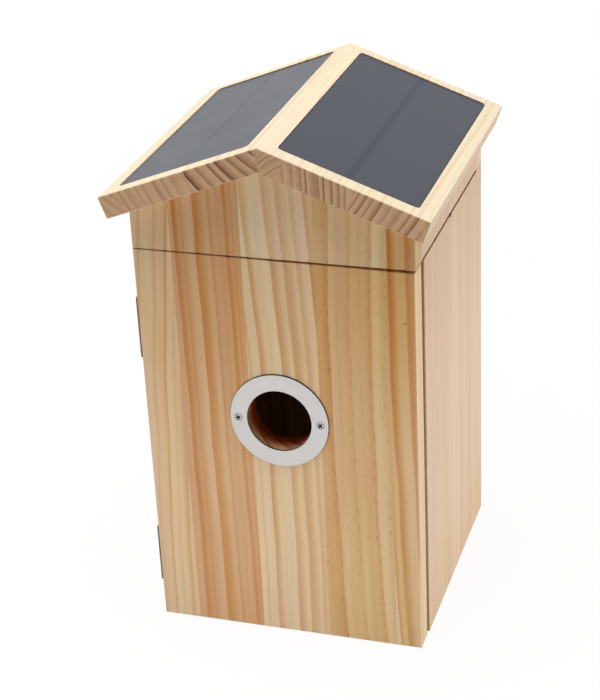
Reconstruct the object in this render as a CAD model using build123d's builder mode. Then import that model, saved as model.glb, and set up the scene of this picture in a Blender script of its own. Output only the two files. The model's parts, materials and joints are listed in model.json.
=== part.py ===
from build123d import *
import math
import os

# Camera nest box, in millimetres. The origin is on the ground under the middle of the roof,
# +Z is up and the door with the entrance hole faces -Y.

# Body boards
box_width = 160.0
box_depth = 164.0
seam_height = 241.6
wall_board = 14.0
floor_thickness = 12.0
floor_setback = 2.0
edge_ease = 0.6
seam_groove_height = 1.3
seam_groove_depth = 3.0

# Door, and the gaps round it
door_board = 14.0
door_gap = 4.5
door_top_gap_hinged = 0.4
door_top_gap_free = 1.4
door_bottom_gap = 0.6
door_edge_inset = 0.5

# Entrance hole and its plate
hole_radius = 19.0
hole_height = 143.0
plate_radius = 28.9
plate_thickness = 1.2
plate_ease = 0.15
plate_screw_circle = 24.2
plate_screw_hole = 1.5
plate_screw_sink = 2.3

# Roof boards and the pockets for the solar panels
roof_pitch = 20.4
lid_side_height = 24.6
eave_overhang = 12.1
roof_board = 13.1
roof_ease = 0.8
front_overhang = 13.3
rear_overhang = 4.7
pocket_ridge_border = 8.6
pocket_eave_border = 9.2
pocket_front_border = 9.6
pocket_rear_border = 7.8
pocket_corner = 2.6
pocket_depth = 4.2

# Solar panels
panel_clearance = 0.4
panel_recess = 0.5
cell_thickness = 0.4
cell_margin = 1.6
cell_gap = 2.2
cell_clearance = 0.02

# Ceiling inside the lid, and the camera under it
ceiling_thickness = 6.0
ceiling_recess = 2.0
camera_radius = 21.0
camera_height = 9.0
camera_ease = 2.0
barrel_radius = 10.5
barrel_length = 5.0
lens_radius = 7.5
lens_clearance = 0.1
lens_depth = 3.0

# Butt hinges on the left side
hinge_height = 38.0
upper_hinge_drop = 49.1
lower_hinge_rise = 42.7
knuckle_count = 5
knuckle_radius = 2.2
knuckle_gap = 0.3
leaf_thickness = 0.9
leaf_clearance = 0.4
leaf_front_margin = 0.3
leaf_corner = 1.2
pin_radius = 1.0
pin_clearance = 0.05
pin_head_radius = 1.7
pin_head_height = 0.7
leaf_screw_hole = 1.3
leaf_screw_sink = 2.3
leaf_screw_shares = (0.24, 0.76)

# Places worked out from the sizes
half_width = box_width / 2
roof_depth = front_overhang + box_depth + rear_overhang
roof_front = -roof_depth / 2
roof_rear = roof_depth / 2
box_front = roof_front + front_overhang
box_rear = roof_rear - rear_overhang
door_back = box_front + door_board
wall_front = door_back + door_gap
gable_back = box_front + wall_board
inner_half_width = half_width - wall_board
rear_wall_front = box_rear - wall_board
pitch_sin = math.sin(math.radians(roof_pitch))
pitch_cos = math.cos(math.radians(roof_pitch))
pitch_tan = math.tan(math.radians(roof_pitch))
roof_half_span = half_width + eave_overhang
slope_length = roof_half_span / pitch_cos
under_ridge = seam_height + lid_side_height + half_width * pitch_tan
ridge_height = under_ridge + roof_board / pitch_cos
eave_top = ridge_height - roof_half_span * pitch_tan
pocket_width = slope_length - pocket_ridge_border - pocket_eave_border
pocket_length = roof_depth - pocket_front_border - pocket_rear_border
pocket_middle = pocket_ridge_border + pocket_width / 2
pocket_centre_y = (pocket_front_border - pocket_rear_border) / 2
panel_width = pocket_width - panel_clearance * 2
panel_length = pocket_length - panel_clearance * 2
panel_corner = pocket_corner - panel_clearance
panel_thickness = pocket_depth - panel_recess
cell_width = (panel_width - cell_margin * 2 - cell_gap) / 2
cell_length = panel_length - cell_margin * 2
ceiling_underside = seam_height + ceiling_recess
cavity_centre_y = (wall_front + rear_wall_front) / 2
camera_underside = ceiling_underside - camera_height
barrel_underside = camera_underside - barrel_length
pin_x = -half_width - knuckle_radius
pin_y = door_back + door_gap / 2
leaf_x = -half_width - leaf_thickness / 2
leaf_start = knuckle_radius + leaf_clearance
leaf_end = pin_y - box_front - leaf_front_margin
knuckle_pitch = hinge_height / knuckle_count
hinge_centres = {"upper": seam_height - upper_hinge_drop, "lower": lower_hinge_rise}

sides = {"left": -1, "right": 1}


def save(builder, node):
    """Label a finished piece and write it as one file."""
    builder.part.label = node
    export_step(builder.part, f"parts/{node}.step")


def under_roof(x):
    """Height of the roof boards' underside over a place across the box."""
    return under_ridge - abs(x) * pitch_tan


def slope_plane(side, depth):
    """Plane on one roof slope, its x running down from the ridge, sunk by a depth."""
    normal = Vector(side * pitch_sin, 0, pitch_cos)
    ridge = Vector(0, 0, ridge_height)
    return Plane(ridge - normal * depth, x_dir=(side * pitch_cos, 0, -pitch_sin), z_dir=normal)


def make_side_wall(side):
    """Side wall from behind the door to the back, eased outside and grooved under the lid's rail."""
    with BuildPart() as wall:
        with BuildSketch():
            with Locations((side * (half_width - wall_board / 2), (wall_front + box_rear) / 2)):
                Rectangle(wall_board, box_rear - wall_front)
        extrude(amount=seam_height)
        outer = wall.faces().sort_by(Axis.X)[-1 if side > 0 else 0]
        fillet(outer.edges(), radius=edge_ease)
        with BuildSketch(Plane.XZ.offset(-wall_front)):
            groove_x = half_width - seam_groove_depth / 2
            with Locations((side * groove_x, seam_height - seam_groove_height / 2)):
                Rectangle(seam_groove_depth, seam_groove_height)
        extrude(amount=wall_front - rear_wall_front, mode=Mode.SUBTRACT)
    return wall


def make_rear_wall():
    """Rear wall, set between the side walls and flush with their back edges."""
    with BuildPart() as wall:
        with BuildSketch():
            with Locations((0, (rear_wall_front + box_rear) / 2)):
                Rectangle(inner_half_width * 2, wall_board)
        extrude(amount=seam_height)
    return wall


def make_floor():
    """Floor board between the walls, on the ground line."""
    floor_front = wall_front + floor_setback
    with BuildPart() as floor:
        with BuildSketch():
            with Locations((0, (floor_front + rear_wall_front) / 2)):
                Rectangle(inner_half_width * 2, rear_wall_front - floor_front)
        extrude(amount=floor_thickness)
    return floor


def make_door():
    """Door over the whole front, with eased front edges and the bored entrance hole.

    It hangs a little low on its free side, so the gap over it widens from the hinges.
    """
    free_side = half_width - door_edge_inset
    with BuildPart() as door:
        with BuildSketch(Plane.XZ.offset(-box_front)):
            with BuildLine():
                Polyline(
                    (-half_width, door_bottom_gap),
                    (free_side, door_bottom_gap),
                    (free_side, seam_height - door_top_gap_free),
                    (-half_width, seam_height - door_top_gap_hinged),
                    close=True,
                )
            make_face()
        extrude(amount=-door_board)
        fillet(door.faces().sort_by(Axis.Y)[0].edges(), radius=edge_ease)
        with Locations(Plane((0, box_front, hole_height), x_dir=(1, 0, 0), z_dir=(0, -1, 0))):
            Hole(radius=hole_radius)
    return door


def make_entrance_plate():
    """Round steel plate on the door about the entrance hole, countersunk for two screws."""
    with BuildPart() as plate:
        with BuildSketch(Plane.XZ.offset(-box_front)):
            with Locations((0, hole_height)):
                Circle(plate_radius)
                Circle(hole_radius, mode=Mode.SUBTRACT)
        extrude(amount=plate_thickness)
        front_rims = plate.faces().sort_by(Axis.Y)[0].edges()
        chamfer(front_rims.sort_by(SortBy.RADIUS)[-1], length=plate_ease)
        plate_front = box_front - plate_thickness
        with Locations(Plane((0, plate_front, hole_height), x_dir=(1, 0, 0), z_dir=(0, -1, 0))):
            with PolarLocations(plate_screw_circle, 2):
                CounterSinkHole(radius=plate_screw_hole, counter_sink_radius=plate_screw_sink)
    return plate


def make_gable(front):
    """Gable board of the lid under the roof slopes, its outer face towards the front or the back."""
    start = box_front if front else rear_wall_front
    with BuildPart() as gable:
        with BuildSketch(Plane.XZ.offset(-start)):
            with BuildLine():
                Polyline(
                    (-half_width, seam_height),
                    (half_width, seam_height),
                    (half_width, under_roof(half_width)),
                    (0, under_ridge),
                    (-half_width, under_roof(half_width)),
                    close=True,
                )
            make_face()
        extrude(amount=-wall_board)
        rim = gable.faces().sort_by(Axis.Y)[0 if front else -1].edges()
        fillet(rim.filter_by(Axis.X) + rim.filter_by(Axis.Z), radius=edge_ease)
    return gable


def make_lid_rail(side):
    """Side rail of the lid between the gables, planed to the roof's pitch."""
    outer = side * half_width
    inner = side * inner_half_width
    with BuildPart() as rail:
        with BuildSketch(Plane.XZ.offset(-gable_back)):
            with BuildLine():
                Polyline(
                    (inner, seam_height),
                    (outer, seam_height),
                    (outer, under_roof(outer)),
                    (inner, under_roof(inner)),
                    close=True,
                )
            make_face()
        extrude(amount=gable_back - rear_wall_front)
        outer_face = rail.faces().sort_by(Axis.X)[-1 if side > 0 else 0]
        fillet(outer_face.edges().filter_by(Axis.Y).sort_by(Axis.Z)[0], radius=edge_ease)
    return rail


def make_ceiling():
    """Board that closes the lid over the nest and carries the camera."""
    with BuildPart() as ceiling:
        with BuildSketch(Plane.XY.offset(ceiling_underside)):
            with Locations((0, (gable_back + rear_wall_front) / 2)):
                Rectangle(inner_half_width * 2, rear_wall_front - gable_back)
        extrude(amount=ceiling_thickness)
    return ceiling


def make_roof_board(side):
    """Roof board mitred at the ridge, square at the eave, with a pocket for its panel."""
    eave_bottom = (side * (roof_half_span - roof_board * pitch_sin), eave_top - roof_board * pitch_cos)
    with BuildPart() as roof:
        with BuildSketch(Plane.XZ.offset(-roof_front)):
            with BuildLine():
                Polyline(
                    (0, ridge_height),
                    (side * roof_half_span, eave_top),
                    eave_bottom,
                    (0, under_ridge),
                    close=True,
                )
            make_face()
        extrude(amount=-roof_depth)
        mitre = roof.faces().filter_by(Axis.X).sort_by(Axis.X)[0 if side > 0 else -1]
        mitre_edges = mitre.edges()
        fillet([edge for edge in roof.edges() if edge not in mitre_edges], radius=roof_ease)
        with BuildSketch(slope_plane(side, 0)):
            with Locations((pocket_middle, side * pocket_centre_y)):
                RectangleRounded(pocket_width, pocket_length, pocket_corner)
        extrude(amount=-pocket_depth, mode=Mode.SUBTRACT)
    return roof


def draw_cells(side, clearance):
    """Outlines of a panel's two cells, side by side with a gap along the roof's middle line."""
    with Locations((pocket_middle, side * pocket_centre_y)):
        with GridLocations(cell_width + cell_gap, 0, 2, 1):
            Rectangle(cell_width + clearance * 2, cell_length + clearance * 2)


def make_panel_board(side):
    """Backing board of a solar panel, on the floor of its pocket, with a seat for each cell."""
    with BuildPart() as panel:
        with BuildSketch(slope_plane(side, pocket_depth)):
            with Locations((pocket_middle, side * pocket_centre_y)):
                RectangleRounded(panel_width, panel_length, panel_corner)
        extrude(amount=panel_thickness)
        with BuildSketch(slope_plane(side, panel_recess)):
            draw_cells(side, cell_clearance)
        extrude(amount=-cell_thickness, mode=Mode.SUBTRACT)
    return panel


def make_panel_cells(side):
    """The two cells of a panel, flush with the face of their board."""
    with BuildPart() as cells:
        with BuildSketch(slope_plane(side, panel_recess + cell_thickness)):
            draw_cells(side, 0)
        extrude(amount=cell_thickness)
    return cells


def make_camera_housing():
    """Round camera housing on the ceiling, with a barrel that looks down."""
    with BuildPart() as housing:
        with BuildSketch(Plane.XY.offset(ceiling_underside)):
            with Locations((0, cavity_centre_y)):
                Circle(camera_radius)
        extrude(amount=-camera_height)
        chamfer(housing.faces().sort_by(Axis.Z)[0].edges(), length=camera_ease)
        with BuildSketch(Plane.XY.offset(camera_underside)):
            with Locations((0, cavity_centre_y)):
                Circle(barrel_radius)
        extrude(amount=-barrel_length)
        with BuildSketch(Plane.XY.offset(barrel_underside)):
            with Locations((0, cavity_centre_y)):
                Circle(lens_radius + lens_clearance)
        extrude(amount=lens_depth, mode=Mode.SUBTRACT)
    return housing


def make_camera_lens():
    """Lens seated in the barrel, flush with its rim."""
    with BuildPart() as lens:
        with BuildSketch(Plane.XY.offset(barrel_underside)):
            with Locations((0, cavity_centre_y)):
                Circle(lens_radius)
        extrude(amount=lens_depth)
    return lens


def make_hinge_leaf(reach, knuckles, centre):
    """Leaf of a hinge: a plate on the left face and tongues rolled round the pin.

    The plate runs from the pin to the front (reach -1) or to the back (reach 1).
    """
    low = centre - hinge_height / 2
    plate_y = pin_y + reach * (leaf_start + leaf_end) / 2
    face_x = -half_width - leaf_thickness
    with BuildPart() as leaf:
        with BuildSketch(Plane.XY.offset(low)):
            with Locations((leaf_x, plate_y)):
                Rectangle(leaf_thickness, leaf_end - leaf_start)
        extrude(amount=hinge_height)
        outer_end = leaf.edges().filter_by(Axis.X).group_by(Axis.Y)[-1 if reach > 0 else 0]
        fillet(outer_end, radius=leaf_corner)
        for index in knuckles:
            with BuildSketch(Plane.XY.offset(low + index * knuckle_pitch + knuckle_gap / 2)):
                with Locations((leaf_x, pin_y + reach * leaf_start / 2)):
                    Rectangle(leaf_thickness, leaf_start)
                with Locations((pin_x, pin_y)):
                    Circle(knuckle_radius)
                    Circle(pin_radius + pin_clearance, mode=Mode.SUBTRACT)
            extrude(amount=knuckle_pitch - knuckle_gap)
        for share in leaf_screw_shares:
            face = Plane((face_x, plate_y, low + share * hinge_height), x_dir=(0, 1, 0), z_dir=(-1, 0, 0))
            with Locations(face):
                CounterSinkHole(radius=leaf_screw_hole, counter_sink_radius=leaf_screw_sink)
    return leaf


def make_hinge_pin(centre):
    """Hinge pin with a riveted head at each end."""
    low = centre - hinge_height / 2
    with BuildPart() as pin:
        with BuildSketch(Plane.XY.offset(low)):
            with Locations((pin_x, pin_y)):
                Circle(pin_radius)
        extrude(amount=hinge_height)
        for start, rise in ((low, -pin_head_height), (low + hinge_height, pin_head_height)):
            with BuildSketch(Plane.XY.offset(start)):
                with Locations((pin_x, pin_y)):
                    Circle(pin_head_radius)
            extrude(amount=rise)
    return pin


os.makedirs("parts", exist_ok=True)

save(make_floor(), "floor_board")
save(make_rear_wall(), "rear_wall")
save(make_door(), "front_door")
save(make_entrance_plate(), "entrance_plate")
save(make_gable(True), "front_gable")
save(make_gable(False), "rear_gable")
save(make_ceiling(), "ceiling_board")
save(make_camera_housing(), "camera_housing")
save(make_camera_lens(), "camera_lens")

for side_name, side_sign in sides.items():
    save(make_side_wall(side_sign), f"{side_name}_wall")
    save(make_lid_rail(side_sign), f"{side_name}_lid_rail")
    save(make_roof_board(side_sign), f"{side_name}_roof_board")
    save(make_panel_board(side_sign), f"{side_name}_panel_board")
    save(make_panel_cells(side_sign), f"{side_name}_panel_cells")

for hinge_name, hinge_centre in hinge_centres.items():
    save(make_hinge_leaf(1, range(0, knuckle_count, 2), hinge_centre), f"{hinge_name}_hinge_wall_leaf")
    save(make_hinge_leaf(-1, range(1, knuckle_count, 2), hinge_centre), f"{hinge_name}_hinge_door_leaf")
    save(make_hinge_pin(hinge_centre), f"{hinge_name}_hinge_pin")
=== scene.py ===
"""Looks of the camera nest box: its wood, panels, steel and screws, and a plain studio round it."""

import json
import math
from functools import partial
from typing import NamedTuple

import bpy
from bpy.props import FloatProperty, FloatVectorProperty, IntProperty, PointerProperty
from mathutils import Matrix, Vector


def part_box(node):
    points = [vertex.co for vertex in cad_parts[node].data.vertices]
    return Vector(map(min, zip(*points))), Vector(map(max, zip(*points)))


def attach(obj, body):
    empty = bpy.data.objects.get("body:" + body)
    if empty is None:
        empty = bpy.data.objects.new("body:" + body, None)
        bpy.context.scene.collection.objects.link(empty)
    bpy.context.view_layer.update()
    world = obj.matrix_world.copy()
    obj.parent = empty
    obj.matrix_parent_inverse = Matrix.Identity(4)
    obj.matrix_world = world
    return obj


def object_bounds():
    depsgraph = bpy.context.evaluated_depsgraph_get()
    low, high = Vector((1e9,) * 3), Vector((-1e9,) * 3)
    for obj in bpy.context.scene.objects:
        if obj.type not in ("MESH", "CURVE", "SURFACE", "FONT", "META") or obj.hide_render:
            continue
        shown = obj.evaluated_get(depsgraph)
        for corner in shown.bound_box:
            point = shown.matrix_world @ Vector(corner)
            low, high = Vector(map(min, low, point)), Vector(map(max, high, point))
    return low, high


bl_info = {
    "name": "Camera Nest Box",
    "version": (1, 0, 0),
    "blender": (4, 5, 0),
    "location": "View3D > Sidebar > Nest Box",
    "description": "Finishes the packed nest box: pine, solar panels, steel, screws and a studio",
    "category": "Object",
}

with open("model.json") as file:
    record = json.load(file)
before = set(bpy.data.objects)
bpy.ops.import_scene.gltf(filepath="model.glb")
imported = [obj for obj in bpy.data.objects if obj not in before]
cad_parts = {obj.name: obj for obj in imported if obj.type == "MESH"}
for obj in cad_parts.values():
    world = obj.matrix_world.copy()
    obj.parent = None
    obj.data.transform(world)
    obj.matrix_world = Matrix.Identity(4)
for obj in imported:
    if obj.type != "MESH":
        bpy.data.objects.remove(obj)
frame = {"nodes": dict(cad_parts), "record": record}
cad_box = [list(corner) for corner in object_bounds()]
MM = 0.001
WHITE = (1.0, 1.0, 1.0, 1.0)


def tint(red, green, blue):
    """A colour given by its display values, 0 to 255, as the linear colour that a shader takes."""
    shares = [value / 255 for value in (red, green, blue)]
    linear = [s / 12.92 if s <= 0.04045 else ((s + 0.055) / 1.055) ** 2.4 for s in shares]
    return (*linear, 1.0)


# Shader maths

class Wire:
    """A node's output that Python's operators join to new Math nodes."""

    def __init__(self, paint, socket):
        self.paint = paint
        self.socket = socket

    def math(self, operation, *values):
        return self.paint.node("ShaderNodeMath", {"operation": operation}, dict(enumerate(values)))

    def __add__(self, other):
        return self.math("ADD", self, other)

    __radd__ = __add__

    def __sub__(self, other):
        return self.math("SUBTRACT", self, other)

    def __rsub__(self, other):
        return self.math("SUBTRACT", other, self)

    def __mul__(self, other):
        return self.math("MULTIPLY", self, other)

    __rmul__ = __mul__

    def __truediv__(self, other):
        return self.math("DIVIDE", self, other)

    def __rtruediv__(self, other):
        return self.math("DIVIDE", other, self)

    def __gt__(self, other):
        return self.math("GREATER_THAN", self, other)

    def __abs__(self):
        return self.math("ABSOLUTE", self)

    def floor(self):
        return self.math("FLOOR", self)

    def fraction(self):
        return self.math("FRACT", self)

    def root(self):
        return self.math("SQRT", self)

    def larger(self, other):
        return self.math("MAXIMUM", self, other)

    def fade(self, low, high):
        """0 below low, 1 above high, and a smooth step between them."""
        settings = {"interpolation_type": "SMOOTHSTEP"}
        return self.paint.node("ShaderNodeMapRange", settings, {0: self, 1: low, 2: high})


class Paint:
    """The node tree of one material or of the world."""

    def __init__(self, owner):
        owner.use_nodes = True
        self.owner = owner
        self.tree = owner.node_tree
        self.tree.nodes.clear()

    def node(self, kind, settings=None, inputs=None, output=0):
        """Adds a node with its settings, fills its sockets with values or wires, gives one output."""
        made = self.tree.nodes.new(kind)
        for key, value in (settings or {}).items():
            if key == "stops":
                self.set_stops(made.color_ramp, *value)
            else:
                setattr(made, key, value)
        for key, value in (inputs or {}).items():
            if isinstance(value, Wire):
                self.tree.links.new(value.socket, made.inputs[key])
            else:
                made.inputs[key].default_value = value
        return Wire(self, made.outputs[output]) if made.outputs else made

    def set_stops(self, ramp, stops, interpolation):
        """Gives a ramp its stops, each a place and a grey value or a triple."""
        ramp.interpolation = interpolation
        while len(ramp.elements) < len(stops):
            ramp.elements.new(1.0)
        for element, (place, value) in zip(ramp.elements, stops):
            triple = value if isinstance(value, tuple) else (value,) * 3
            element.position = place
            element.color = (*triple, 1.0)

    def place(self):
        return self.node("ShaderNodeTexCoord", output="Object")

    def facing(self):
        return self.node("ShaderNodeTexCoord", output="Normal")

    def vector(self, operation, *values, output=0):
        inputs = dict(enumerate(values))
        return self.node("ShaderNodeVectorMath", {"operation": operation}, inputs, output)

    def along(self, vector, axis):
        """How far a vector reaches along an axis."""
        return self.vector("DOT_PRODUCT", vector, axis, output="Value")

    def length(self, vector):
        return self.vector("LENGTH", vector, output="Value")

    def minus(self, vector, other):
        return self.vector("SUBTRACT", vector, other)

    def stretch(self, vector, scales):
        """A vector or a colour multiplied axis by axis."""
        return self.vector("MULTIPLY", vector, scales)

    def dim(self, colour, share):
        """A colour made darker or lighter by a share."""
        return self.node("ShaderNodeVectorMath", {"operation": "SCALE"}, {0: colour, 3: share})

    def point(self, *values):
        return self.node("ShaderNodeCombineXYZ", inputs=dict(enumerate(values)))

    def noise(self, vector, scales, detail=2.0):
        """Noise from 0 to 1, as fine along each axis as its scale says."""
        inputs = {"Vector": self.stretch(vector, scales), "Scale": 1.0, "Detail": detail}
        return self.node("ShaderNodeTexNoise", inputs=inputs)

    def swing(self, vector, scales, detail=2.0):
        """Noise that swings about 0, by up to a half."""
        return self.noise(vector, scales, detail) - 0.5

    def hash(self, value):
        """A random value for each whole number."""
        return self.node("ShaderNodeTexWhiteNoise", {"noise_dimensions": "1D"}, {"W": value})

    def ramp(self, value, stops, interpolation="LINEAR"):
        return self.node("ShaderNodeValToRGB", {"stops": (stops, interpolation)}, {0: value})

    def mix_colour(self, share, first, second):
        return self.node("ShaderNodeMix", {"data_type": "RGBA"}, {0: share, 6: first, 7: second}, 2)

    def mix_vector(self, share, first, second):
        return self.node("ShaderNodeMix", {"data_type": "VECTOR"}, {0: share, 4: first, 5: second}, 1)

    def mix_shader(self, share, first, second):
        return self.node("ShaderNodeMixShader", inputs={0: share, 1: first, 2: second})

    def tone(self, colour, share, tone):
        """A colour multiplied by a tone, as far as a share says."""
        return self.stretch(colour, self.mix_colour(share, WHITE, tone))

    def bump(self, height, distance):
        return self.node("ShaderNodeBump", inputs={"Height": height, "Distance": distance})

    def surface(self, **inputs):
        """Ends a material with a Principled shader, its sockets named with underscores for spaces."""
        named = {key.replace("_", " "): value for key, value in inputs.items()}
        self.end(self.node("ShaderNodeBsdfPrincipled", inputs=named))
        return self.owner

    def end(self, shader):
        owner = "World" if isinstance(self.owner, bpy.types.World) else "Material"
        self.node(f"ShaderNodeOutput{owner}", inputs={"Surface": shader})

    def seen_directly(self):
        """1 for what the camera, a reflection or a view through glass sees, and 0 for light."""
        kinds = ("Camera", "Glossy", "Transmission")
        rays = [self.node("ShaderNodeLightPath", output=f"Is {kind} Ray") for kind in kinds]
        return rays[0].larger(rays[1]).larger(rays[2])


def new_material(name):
    return Paint(bpy.data.materials.new(name))


# Pine boards, each glued from staves

X, Y, Z = AXES = (Vector((1, 0, 0)), Vector((0, 1, 0)), Vector((0, 0, 1)))
RIDGE = Vector((0, 0, cad_box[1][2]))


class Board(NamedTuple):
    """How a board lies: the axes across its staves, through its thickness and along its grain."""

    across: Vector
    depth: Vector
    grain: Vector
    origin: Vector = Vector()


class Growth(NamedTuple):
    """What growth gives a point of a board; lie is the point's place in its own stave."""

    late: Wire
    warmth: Wire
    canals: Wire
    lie: Wire
    # Share of painted shade that deepens the door's colour towards its top
    flush: object = 0.0
    cast: object = 0.0


class Stave(NamedTuple):
    """One stave of a board: where it starts across the board, and how its growth rings lie."""

    start: float
    pith_across: float
    pith_depth: float
    ring: float
    lean: float
    contrast: float
    warmth: float


class FrontStave(NamedTuple):
    """One stave of the front: its start, the lie of its lines, and its colour.

    At a height h above the floor a line is shifted by lean * h + bend * h * h.
    late_first is 1 where the late wood lies at the left of each ring, and 0 where it lies at the right.
    The painted top shade is how much deeper the door's colour is painted towards its top, as shade under the
    roof. A cast above 0 is pink, below it yellow.
    """

    start: float
    lean: float
    bend: float
    late_first: float
    contrast: float
    warmth: float
    canals: float
    flush: float
    cast: float
    gable_contrast: float
    gable_warmth: float


class FrontRing(NamedTuple):
    """One growth ring of the front: where it starts along the floor, and its wood.

    strength is how dark its late wood is, late_share how much of its width that takes, and warmth what
    its early wood adds to the warmth of the stave.
    """

    start: float
    strength: float
    late_share: float
    warmth: float


def table(kind, lengths, *rows):
    """Rows of one kind, each with its first values, as many as lengths says, given in millimetres."""
    return tuple(kind(*(value * MM for value in row[:lengths]), *row[lengths:]) for row in rows)


FRONT_STAVES = table(
    FrontStave, 1,
    (-120, 0.012, 0.15, 0.0, 0.60, 0.30, 0.10, 0.00, 0.00, 0.62, 0.40),
    (-57.5, -0.014, 0.0, 1.0, 0.78, 0.92, 0.10, 0.38, 0.035, 0.95, 1.00),
    (-17, 0.008, -0.145, 1.0, 0.70, 0.15, 0.15, 0.15, 0.00, 0.45, 0.05),
    (24, -0.06, 0.18, 0.0, 0.36, 0.66, 1.00, 0.60, -0.04, 0.35, 0.47),
    (64.5, -0.06, 0.11, 1.0, 0.85, 0.50, 0.20, 1.00, -0.03, 1.05, 0.95),
)
FRONT_RINGS = table(
    FrontRing, 1,
    (-93, 0.6, 0.25, 0.0), (-87.5, 0.55, 0.20, 0.0), (-78, 0.8, 0.25, 0.1), (-71.5, 0.4, 0.30, -0.1),
    (-66.5, 0.9, 0.45, 0.0), (-60.6, 0.5, 0.40, 0.0), (-52, 0.85, 0.60, 0.1), (-47.4, 0.5, 0.40, 0.1),
    (-44.2, 0.2, 0.25, -0.25), (-39.7, 0.85, 0.72, 0.1), (-34.2, 0.15, 0.25, -0.1), (-30.8, 0.45, 0.35, 0.0),
    (-26.2, 0.2, 0.35, 0.0), (-21.6, 0.85, 0.65, 0.0), (-18, 0.5, 0.30, 0.0), (-13.5, 0.5, 0.20, 0.0),
    (-7.2, 0.85, 0.40, 0.1), (0, 0.2, 0.20, -0.1), (5.5, 0.85, 0.50, 0.1), (13, 0.75, 0.60, 0.1),
    (20.5, 0.6, 0.40, 0.0), (28, 0.9, 0.35, 0.35), (36.3, 0.35, 0.30, 0.0), (41.5, 0.6, 0.40, 0.1),
    (48.5, 0.35, 0.30, 0.0), (54, 0.75, 0.45, 0.1), (60, 0.7, 0.40, -0.25), (67.8, 0.6, 0.35, 0.2),
    (72, 1.0, 0.38, 0.0), (82, 0.8, 0.35, 0.1), (93, 0.5, 0.40, 0.0),
)
REAR_STAVES = table(
    Stave, 4,
    (-120, -150, 20, 5.6, 0.02, 0.55, 0.40),
    (-49, 20, 130, 5.0, 0.0, 0.60, 0.20),
    (-8, -90, 40, 6.2, -0.04, 0.65, 0.55),
    (33, 120, 20, 5.0, 0.0, 0.50, 0.30),
)
SIDE_STAVES = table(
    Stave, 4,
    (-120, -300, 20, 3.2, 0.0, 0.50, 0.45),
    (-38, 260, -30, 2.8, 0.0, 0.45, 0.50),
    (3, -280, 10, 3.4, 0.0, 0.30, 0.00),
    (22, 330, 40, 3.0, 0.0, 0.45, 0.40),
    (44, 330, 40, 3.0, 0.0, 0.45, 0.35),
)
FLAT_STAVES = table(
    Stave, 4,
    (-120, -170, 90, 4.6, 0.0, 0.45, 0.35),
    (-36, 150, 60, 5.2, 0.02, 0.50, 0.20),
    (5, -20, 190, 4.0, 0.0, 0.40, 0.45),
    (46, 190, 40, 5.0, 0.0, 0.50, 0.30),
)
LEFT_ROOF_STAVES = table(
    Stave, 4,
    (-20, 4, -22, 4.5, 0.0, 0.55, 0.30),
    (3, -37, -27, 6.8, 0.0, 1.30, 0.35),
    (44.3, -60, -18, 5.6, 0.0, 0.50, 0.15),
    (85.5, 10, -50, 5.0, 0.0, 0.40, 0.20),
)
RIGHT_ROOF_STAVES = table(
    Stave, 4,
    (-20, 47, 36, 3.6, 0.0, 0.55, 0.30),
    (15.2, -50, 37, 4.4, 0.0, 1.00, 0.30),
    (55.6, -10, -14, 4.6, 0.0, 0.85, 0.25),
    (96, 30, 60, 5.0, 0.0, 0.50, 0.30),
)
LATE_WOOD_STOPS = ((0.0, 0.30), (0.06, 0.0), (0.40, 0.06), (0.76, 0.55), (0.92, 1.0), (1.0, 0.60))

# How fine the wood's noises are across a board's staves, through it and along its grain
WAVE_SCALES = (14, 14, 4.5)
RIPPLE_SCALES = (60, 60, 16)
FRONT_WAVE_SCALES = (12, 12, 11)
FRONT_RIPPLE_SCALES = (70, 70, 30)
STREAK_SCALES = (260, 260, 5)
FIBRE_SCALES = (1500, 1500, 30)
CLOUD_SCALES = (25, 25, 7)
CAST_SCALES = (120, 120, 4)
DASH_SCALES = (1300, 1300, 200)
# How far the rings wander, on the front and elsewhere, and how far in fine ripples
FRONT_WAVE, WAVE, RIPPLE = 3 * MM, 7 * MM, 1 * MM
# What sets a stave apart from the next, and the front rings' slope into the board
STAVE_SEED, RING_SLANT = 3.7, 1.1
# How unlike the rings' widths are, and how fine noises are by ring, stave and height
UNEVEN = 2.2
UNEVEN_SCALES = (0.55, 1, 1)
FADING_SCALES = (7.3, 1, 9)
# Darkness of the faintest ring, as a share of the darkest
FAINTEST_RING = 0.35
# Where a front ring's late wood starts and is full, in its own widths before the ring's end
LATE_START, LATE_FULL = 1.7, 0.3
# The share of a front ring where its end softens, and what it loses there
SOFT_START, SOFT_LOSS = 0.9, 0.3
# Darkness of a front line where it fades, and what it gains elsewhere
FADED_LINE, LINE_GAIN = 0.55, 0.9
# Lifts a ring's warmth in its ramp, which holds no value below 0
WARMTH_LIFT = 0.5
# Heights over which the front's lines deepen, the painted shade on the door's top grows, the painted shade of
# the eaves on the side boards' tops grows, and the side boards' deeper foot colour fades
LINE_HEIGHTS = (100 * MM, 190 * MM)
PAINTED_TOP_SHADE_HEIGHTS = (120 * MM, 235 * MM)
PAINTED_EAVE_SHADE_HEIGHTS = (130 * MM, 250 * MM)
SIDE_FOOT_HEIGHTS = (0.0, 60 * MM)
# Levels of noise between which a resin canal's dash appears
DASH_LEVELS = (0.62, 0.72)
# How squarely a face lies to an axis where it starts to be, and where it is, an end or an edge
CUT_FACING = (0.5, 0.9)
# What the rings lose on edges, and what a cast takes of green for each part of blue
EDGE_LOSS, CAST_GREEN = 0.6, 0.7
# Parts of fibres and rings in the relief, and how far the roughness changes
FIBRE_RELIEF, RING_RELIEF, ROUGHNESS_SPREAD = 0.6, 0.4, 0.2
# How far the bored hole's wood reaches past its wall
BORE_RIM = 0.5 * MM
# Shares of the hole's length where its paler mouth gives way to painted bounce light and shade, and over
# which the painted shade grows, and the level of the painted light
BORE_EDGE, BORE_REACH, BORE_LIGHT_GAIN = 0.4, 0.75, 2.0
# Share of a spot's reach that is solid
SPOT_CORE = 0.6
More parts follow.
